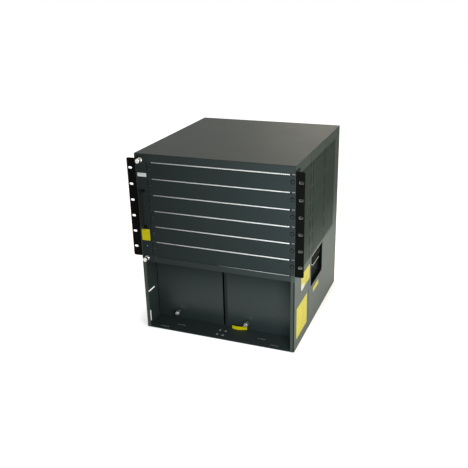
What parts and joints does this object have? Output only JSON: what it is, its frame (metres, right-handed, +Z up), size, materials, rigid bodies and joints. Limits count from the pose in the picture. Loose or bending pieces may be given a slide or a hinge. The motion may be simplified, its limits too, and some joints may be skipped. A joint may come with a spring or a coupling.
{
  "type": "modular chassis switch",
  "caption": "Rack-mount switch chassis with blanked horizontal card slots, a sliding fan tray at the left, slotted ears, side vents, lifting pockets and an open power bay.",
  "frame": {"origin": "centre of the underside of the chassis, midway between the faceplates and the rear panel", "axes": "+Z up, the card slots face -Y, +X to the right seen from the front"},
  "size_m": [0.4826, 0.4836, 0.511],
  "materials": {
    "charcoal_paint": "fine textured powder coat",
    "black_paint": "satin black powder coat",
    "dark_screw": "blackened steel",
    "spring_finger": "bright tinned spring strip",
    "bright_zinc": "bright zinc plate",
    "plain_steel": "plain zinc sheet",
    "black_plastic": "moulded black plastic",
    "guide_plastic": "moulded grey plastic",
    "board": "solder mask",
    "lens": "clear lens, unlit"
  },
  "bodies": {
    "chassis": {"base_pan": "charcoal_paint", "left_side_wall": "charcoal_paint", "right_side_wall": "charcoal_paint", "left_vent_panel": "charcoal_paint", "right_vent_panel": "charcoal_paint", "top_cover": "charcoal_paint", "rear_panel": "charcoal_paint", "cage_floor": "charcoal_paint", "power_bay_divider": "charcoal_paint", "power_bay_blank_left": "charcoal_paint", "power_bay_blank_right": "charcoal_paint", "fan_bay_partition": "charcoal_paint", "slot_filler_1": "charcoal_paint", "slot_filler_2": "charcoal_paint", "slot_filler_3": "charcoal_paint", "slot_filler_4": "charcoal_paint", "slot_filler_5": "charcoal_paint", "slot_filler_6": "charcoal_paint", "left_rack_ear": "black_paint", "right_rack_ear": "black_paint", "filler_screws": "dark_screw", "rack_ear_screws": "dark_screw", "rear_panel_screws": "dark_screw", "gasket_1": "spring_finger", "gasket_2": "spring_finger", "gasket_3": "spring_finger", "gasket_4": "spring_finger", "gasket_5": "spring_finger", "gasket_6": "spring_finger", "bay_floor_screws": "bright_zinc", "backplane_standoffs": "bright_zinc", "bay_sills": "plain_steel", "left_handle_pocket": "black_plastic", "right_handle_pocket": "black_plastic", "backplane_connectors": "black_plastic", "power_connectors": "black_plastic", "left_card_guides": "guide_plastic", "right_card_guides": "guide_plastic", "backplane_board": "board"},
    "fan_tray": {"fan_tray_frame": "plain_steel", "fan_tray_faceplate": "charcoal_paint", "fan_tray_handle": "black_plastic", "fan_status_lens": "lens", "fan_tray_connector": "black_plastic", "fan_housing_1": "black_plastic", "fan_housing_2": "black_plastic", "fan_housing_3": "black_plastic", "fan_housing_4": "black_plastic", "fan_housing_5": "black_plastic", "fan_housing_6": "black_plastic"},
    "fan_rotor_1": {"fan_rotor_1": "black_plastic"},
    "fan_rotor_2": {"fan_rotor_2": "black_plastic"},
    "fan_rotor_3": {"fan_rotor_3": "black_plastic"},
    "fan_rotor_4": {"fan_rotor_4": "black_plastic"},
    "fan_rotor_5": {"fan_rotor_5": "black_plastic"},
    "fan_rotor_6": {"fan_rotor_6": "black_plastic"},
    "fan_thumbscrew_upper": {"fan_thumbscrew_upper": "bright_zinc"},
    "fan_thumbscrew_lower": {"fan_thumbscrew_lower": "bright_zinc"},
    "bay_thumbscrew_left": {"bay_thumbscrew_left": "bright_zinc"},
    "bay_thumbscrew_right": {"bay_thumbscrew_right": "bright_zinc"}
  },
  "joints": [
    {"name": "fan_tray_slide", "type": "slide", "parent": "chassis", "child": "fan_tray", "axis": [0, -1, 0], "range_m": [0, 0.35]},
    {"name": "fan_spin_1", "type": "hinge", "parent": "fan_tray", "child": "fan_rotor_1", "pos_m": [-0.20725, -0.1315, 0.29435], "axis": [1, 0, 0], "continuous": true},
    {"name": "fan_spin_2", "type": "hinge", "parent": "fan_tray", "child": "fan_rotor_2", "pos_m": [-0.20725, -0.005, 0.29435], "axis": [1, 0, 0], "continuous": true},
    {"name": "fan_spin_3", "type": "hinge", "parent": "fan_tray", "child": "fan_rotor_3", "pos_m": [-0.20725, 0.1215, 0.29435], "axis": [1, 0, 0], "continuous": true},
    {"name": "fan_spin_4", "type": "hinge", "parent": "fan_tray", "child": "fan_rotor_4", "pos_m": [-0.20725, -0.1315, 0.41835], "axis": [1, 0, 0], "continuous": true},
    {"name": "fan_spin_5", "type": "hinge", "parent": "fan_tray", "child": "fan_rotor_5", "pos_m": [-0.20725, -0.005, 0.41835], "axis": [1, 0, 0], "continuous": true},
    {"name": "fan_spin_6", "type": "hinge", "parent": "fan_tray", "child": "fan_rotor_6", "pos_m": [-0.20725, 0.1215, 0.41835], "axis": [1, 0, 0], "continuous": true},
    {"name": "fan_thumbscrew_upper_turn", "type": "hinge", "parent": "fan_tray", "child": "fan_thumbscrew_upper", "pos_m": [-0.19855, -0.23, 0.4955], "axis": [0, -1, 0], "continuous": true},
    {"name": "fan_thumbscrew_lower_turn", "type": "hinge", "parent": "fan_tray", "child": "fan_thumbscrew_lower", "pos_m": [-0.19855, -0.23, 0.2195], "axis": [0, -1, 0], "continuous": true},
    {"name": "bay_thumbscrew_left_turn", "type": "hinge", "parent": "chassis", "child": "bay_thumbscrew_left", "pos_m": [-0.1485, -0.157, 0.0255], "axis": [0, -1, 0], "continuous": true},
    {"name": "bay_thumbscrew_right_turn", "type": "hinge", "parent": "chassis", "child": "bay_thumbscrew_right", "pos_m": [0.0625, -0.157, 0.0255], "axis": [0, -1, 0], "continuous": true}
  ]
}
